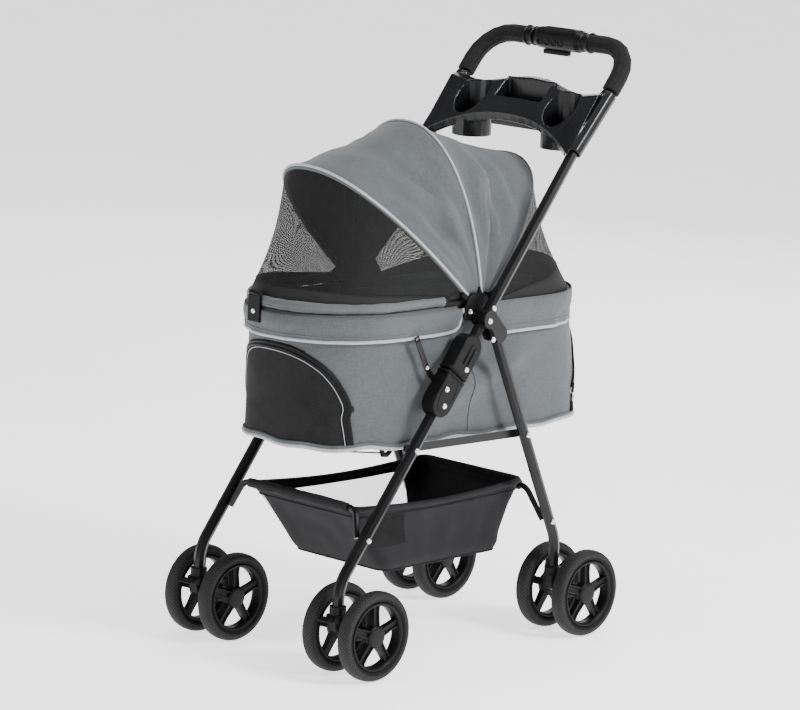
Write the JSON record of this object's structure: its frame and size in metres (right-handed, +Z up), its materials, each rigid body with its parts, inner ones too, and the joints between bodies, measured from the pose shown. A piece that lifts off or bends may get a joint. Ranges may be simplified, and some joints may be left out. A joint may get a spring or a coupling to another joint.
{
  "type": "pet stroller",
  "caption": "Folding pet stroller: covered fabric cabin on a painted tube frame, canopy with mesh front, cup tray, under-basket and twin swivel casters.",
  "frame": {"origin": "on the floor, under the middle of the bounding box", "axes": "+Z up, -Y towards the front casters, +X towards the right-hand side as seen from the front"},
  "size_m": [0.4232, 0.689, 0.9905],
  "materials": {
    "black_paint": "gloss",
    "black_plastic": "satin",
    "tray_plastic": "satin",
    "wheel_plastic": "satin",
    "foam": "matte foam",
    "tyre_rubber": "matte",
    "steel": "plain",
    "grey_cloth": "woven",
    "black_cloth": "woven",
    "mesh_cloth": "open mesh"
  },
  "bodies": {
    "upper_frame": {"handle_tube": "black_paint", "foam_grip_left": "foam", "foam_grip_right": "foam", "grip_core": "black_plastic", "cup_tray": "tray_plastic", "leg_bracket_left": "black_paint", "leg_bracket_right": "black_paint"},
    "front_frame": {"front_leg_left": "black_paint", "front_leg_right": "black_paint", "lock_casing_left": "black_plastic", "lock_casing_right": "black_plastic", "basket_hoop_front": "black_paint", "storage_basket": "black_cloth"},
    "rear_frame": {"rear_leg_left": "black_paint", "rear_leg_right": "black_paint", "rear_housing_left": "black_plastic", "rear_housing_right": "black_plastic", "rear_axle_left": "steel", "rear_axle_right": "steel", "basket_hoop_rear": "black_paint"},
    "side_links": {"side_link_left": "black_paint", "side_link_right": "black_paint"},
    "carrier": {"carrier_body": "grey_cloth", "carrier_ring": "black_paint", "hoop_rear": "black_paint", "canopy_rear": "grey_cloth"},
    "canopy_middle": {"hoop_middle": "black_paint", "canopy_front": "grey_cloth"},
    "canopy_front_hoop": {"hoop_front": "black_paint"},
    "lid": {"lid_ring": "black_paint", "front_mesh": "mesh_cloth"},
    "latch": {"lid_latch": "black_plastic"},
    "trigger": {"release_trigger": "black_plastic"},
    "button": {"safety_button": "black_plastic"},
    "lock_sleeve_left": {"lock_sleeve_left": "black_plastic"},
    "caster_left": {"caster_housing_left": "black_plastic", "front_axle_left": "steel"},
    "swivel_lock_left": {"swivel_lock_left": "black_plastic"},
    "brake_pedal_left": {"brake_pedal_left": "black_plastic"},
    "wheel_front_left_inner": {"rim_front_left_inner": "wheel_plastic", "tyre_front_left_inner": "tyre_rubber"},
    "wheel_front_left_outer": {"rim_front_left_outer": "wheel_plastic", "tyre_front_left_outer": "tyre_rubber"},
    "wheel_rear_left_inner": {"rim_rear_left_inner": "wheel_plastic", "tyre_rear_left_inner": "tyre_rubber"},
    "wheel_rear_left_outer": {"rim_rear_left_outer": "wheel_plastic", "tyre_rear_left_outer": "tyre_rubber"},
    "lock_sleeve_right": {"lock_sleeve_right": "black_plastic"},
    "caster_right": {"caster_housing_right": "black_plastic", "front_axle_right": "steel"},
    "swivel_lock_right": {"swivel_lock_right": "black_plastic"},
    "brake_pedal_right": {"brake_pedal_right": "black_plastic"},
    "wheel_front_right_inner": {"rim_front_right_inner": "wheel_plastic", "tyre_front_right_inner": "tyre_rubber"},
    "wheel_front_right_outer": {"rim_front_right_outer": "wheel_plastic", "tyre_front_right_outer": "tyre_rubber"},
    "wheel_rear_right_inner": {"rim_rear_right_inner": "wheel_plastic", "tyre_rear_right_inner": "tyre_rubber"},
    "wheel_rear_right_outer": {"rim_rear_right_outer": "wheel_plastic", "tyre_rear_right_outer": "tyre_rubber"}
  },
  "joints": [
    {"name": "fold", "type": "hinge", "parent": "upper_frame", "child": "front_frame", "pos_m": [0, -0.09371, 0.47892], "axis": [-1, 0, 0], "range_deg": [0, 150], "deforming": ["storage_basket", "carrier_body"]},
    {"name": "rear_fold", "type": "hinge", "parent": "upper_frame", "child": "rear_frame", "pos_m": [0, 0.0186, 0.5252], "axis": [-1, 0, 0], "range_deg": [0, 60.1]},
    {"name": "link_fold", "type": "hinge", "parent": "front_frame", "child": "side_links", "pos_m": [0, -0.158, 0.352], "axis": [1, 0, 0], "range_deg": [0, 63.1]},
    {"name": "carrier_fold", "type": "hinge", "parent": "upper_frame", "child": "carrier", "pos_m": [0, 0.006, 0.562], "axis": [-1, 0, 0], "range_deg": [0, 75.1]},
    {"name": "canopy_open", "type": "hinge", "parent": "carrier", "child": "canopy_middle", "pos_m": [0, 0.004, 0.584], "axis": [-1, 0, 0], "range_deg": [0, 40], "deforming": ["canopy_front", "canopy_rear", "front_mesh"]},
    {"name": "front_hoop_open", "type": "hinge", "parent": "canopy_middle", "child": "canopy_front_hoop", "pos_m": [0, -0.024, 0.584], "axis": [-1, 0, 0], "range_deg": [0, 30.1]},
    {"name": "lid_open", "type": "hinge", "parent": "canopy_front_hoop", "child": "lid", "pos_m": [0, -0.024, 0.58], "axis": [-1, 0, 0], "range_deg": [0, 30.1]},
    {"name": "latch_open", "type": "hinge", "parent": "lid", "child": "latch", "pos_m": [-0.03, -0.333, 0.58], "axis": [-1, 0, 0], "range_deg": [0, 45]},
    {"name": "release_trigger_press", "type": "slide", "parent": "upper_frame", "child": "trigger", "axis": [0, 0, 1], "range_m": [0, 0.006], "stiffness_N_per_m": 300},
    {"name": "safety_button_press", "type": "slide", "parent": "upper_frame", "child": "button", "axis": [0, -1, 0], "range_m": [0, 0.002], "stiffness_N_per_m": 300},
    {"name": "lock_sleeve_left_slide", "type": "slide", "parent": "upper_frame", "child": "lock_sleeve_left", "axis": [0, 0.6046, 0.7965], "range_m": [0, 0.01]},
    {"name": "caster_left_swivel", "type": "hinge", "parent": "front_frame", "child": "caster_left", "pos_m": [-0.16, -0.31, 0.1], "axis": [0, 0, 1], "continuous": true},
    {"name": "swivel_lock_left_lift", "type": "hinge", "parent": "caster_left", "child": "swivel_lock_left", "pos_m": [-0.16, -0.3302, 0.1], "axis": [-1, 0, 0], "range_deg": [0, 12]},
    {"name": "brake_left_press", "type": "hinge", "parent": "rear_frame", "child": "brake_pedal_left", "pos_m": [-0.16, 0.226, 0.106], "axis": [-1, 0, 0], "range_deg": [0, 12]},
    {"name": "wheel_front_left_inner_spin", "type": "hinge", "parent": "caster_left", "child": "wheel_front_left_inner", "pos_m": [-0.1205, -0.268, 0.0725], "axis": [1, 0, 0], "continuous": true},
    {"name": "wheel_front_left_outer_spin", "type": "hinge", "parent": "caster_left", "child": "wheel_front_left_outer", "pos_m": [-0.1995, -0.268, 0.0725], "axis": [1, 0, 0], "continuous": true},
    {"name": "wheel_rear_left_inner_spin", "type": "hinge", "parent": "rear_frame", "child": "wheel_rear_left_inner", "pos_m": [-0.1205, 0.231, 0.0725], "axis": [1, 0, 0], "continuous": true},
    {"name": "wheel_rear_left_outer_spin", "type": "hinge", "parent": "rear_frame", "child": "wheel_rear_left_outer", "pos_m": [-0.1995, 0.231, 0.0725], "axis": [1, 0, 0], "continuous": true},
    {"name": "lock_sleeve_right_slide", "type": "slide", "parent": "upper_frame", "child": "lock_sleeve_right", "axis": [0, 0.6046, 0.7965], "range_m": [0, 0.01]},
    {"name": "caster_right_swivel", "type": "hinge", "parent": "front_frame", "child": "caster_right", "pos_m": [0.16, -0.31, 0.1], "axis": [0, 0, 1], "continuous": true},
    {"name": "swivel_lock_right_lift", "type": "hinge", "parent": "caster_right", "child": "swivel_lock_right", "pos_m": [0.16, -0.3302, 0.1], "axis": [-1, 0, 0], "range_deg": [0, 12]},
    {"name": "brake_right_press", "type": "hinge", "parent": "rear_frame", "child": "brake_pedal_right", "pos_m": [0.16, 0.226, 0.106], "axis": [-1, 0, 0], "range_deg": [0, 12]},
    {"name": "wheel_front_right_inner_spin", "type": "hinge", "parent": "caster_right", "child": "wheel_front_right_inner", "pos_m": [0.1205, -0.268, 0.0725], "axis": [1, 0, 0], "continuous": true},
    {"name": "wheel_front_right_outer_spin", "type": "hinge", "parent": "caster_right", "child": "wheel_front_right_outer", "pos_m": [0.1995, -0.268, 0.0725], "axis": [1, 0, 0], "continuous": true},
    {"name": "wheel_rear_right_inner_spin", "type": "hinge", "parent": "rear_frame", "child": "wheel_rear_right_inner", "pos_m": [0.1205, 0.231, 0.0725], "axis": [1, 0, 0], "continuous": true},
    {"name": "wheel_rear_right_outer_spin", "type": "hinge", "parent": "rear_frame", "child": "wheel_rear_right_outer", "pos_m": [0.1995, 0.231, 0.0725], "axis": [1, 0, 0], "continuous": true}
  ],
  "couplings": [
    {"joint": "rear_fold", "follows": "fold", "ratio": 0.4},
    {"joint": "link_fold", "follows": "fold", "ratio": 0.42},
    {"joint": "carrier_fold", "follows": "fold", "ratio": 0.5},
    {"joint": "front_hoop_open", "follows": "canopy_open", "ratio": 0.75},
    {"joint": "lid_open", "follows": "canopy_open", "ratio": 0.75},
    {"joint": "lock_sleeve_left_slide", "follows": "release_trigger_press", "ratio": 1.6},
    {"joint": "lock_sleeve_right_slide", "follows": "release_trigger_press", "ratio": 1.6}
  ]
}
